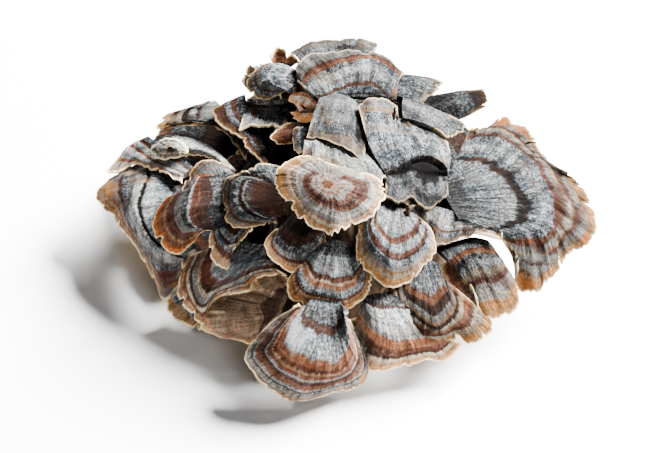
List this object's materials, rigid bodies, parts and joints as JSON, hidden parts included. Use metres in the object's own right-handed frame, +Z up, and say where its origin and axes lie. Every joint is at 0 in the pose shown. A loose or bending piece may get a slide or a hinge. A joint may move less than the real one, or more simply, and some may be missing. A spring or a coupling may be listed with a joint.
{
  "type": "turkey tail mushroom",
  "caption": "Dried cluster of thin overlapping fan-shaped bracket caps with ringed upper faces, ruffled pale rims and pored undersides, on a woody base cut flat to rest on a table",
  "frame": {"origin": "middle of the bounding box, on the table that the flat cut rests on", "axes": "+Z up from the cut, +X along the cluster's long side, -Y towards the low front caps"},
  "size_m": [0.1134, 0.0889, 0.037],
  "materials": {
    "grey_zones": "silvery grey felt with darker growth rings",
    "pale_zones": "pale matt flesh with fine fibres",
    "brown_zones": "chestnut and grey growth rings, matt",
    "tan_zones": "tan and ochre growth rings with a cream rim",
    "dark_zones": "near-black brown growth rings, matt",
    "pore_face": "brown-grey pored underside, matt",
    "woody_base": "rough dark corky stump, sawn flat underneath"
  },
  "bodies": {
    "root": {"cap_centre_disc": "tan_zones", "cap_pale_sheet": "pale_zones", "cap_pale_flow": "pale_zones", "cap_tube_hood": "grey_zones", "cap_pale_flap": "pale_zones", "cap_fuzzy_lobe": "grey_zones", "cap_right_fan": "grey_zones", "cap_front_ridge": "pale_zones", "cap_under_disc_right": "grey_zones", "cap_under_disc_left": "brown_zones", "cap_under_disc_front": "brown_zones", "cap_left_square": "brown_zones", "cap_behind_disc": "pale_zones", "cap_left_pointed": "brown_zones", "cap_left_orange": "brown_zones", "cap_left_hood": "grey_zones", "cap_spiral": "grey_zones", "cap_spiral_arm": "grey_zones", "cap_left_crest": "brown_zones", "cap_left_big": "grey_zones", "cap_left_lower": "brown_zones", "cap_left_hem": "grey_zones", "cap_lower_pores": "pore_face", "cap_front": "brown_zones", "cap_right_split": "tan_zones", "cap_right_split_lip": "dark_zones", "cap_right_front": "grey_zones", "cap_front_right": "grey_zones", "cap_top_fan": "grey_zones", "cap_top_behind": "grey_zones", "cap_knot": "grey_zones", "cap_knot_tab": "tan_zones", "cap_crown_tab": "brown_zones", "cap_orange_curl_upper": "tan_zones", "cap_orange_curl_lower": "tan_zones", "cap_tongue": "brown_zones", "cap_inner_curl": "grey_zones", "cap_scoop": "grey_zones", "cap_fin": "brown_zones", "cap_arch": "dark_zones", "cap_back_wedge": "grey_zones", "cap_back_roll": "dark_zones", "inner_left": "dark_zones", "inner_upper_left": "dark_zones", "inner_crown": "dark_zones", "inner_right": "dark_zones", "shelf_back_left_upper": "grey_zones", "shelf_back_upper": "brown_zones", "shelf_back_right_upper": "grey_zones", "shelf_left_lower": "brown_zones", "shelf_back_left_lower": "tan_zones", "shelf_back_right_lower": "brown_zones", "shelf_right_lower": "grey_zones", "shelf_right_front_lower": "brown_zones", "woody_base": "woody_base"}
  },
  "joints": []
}
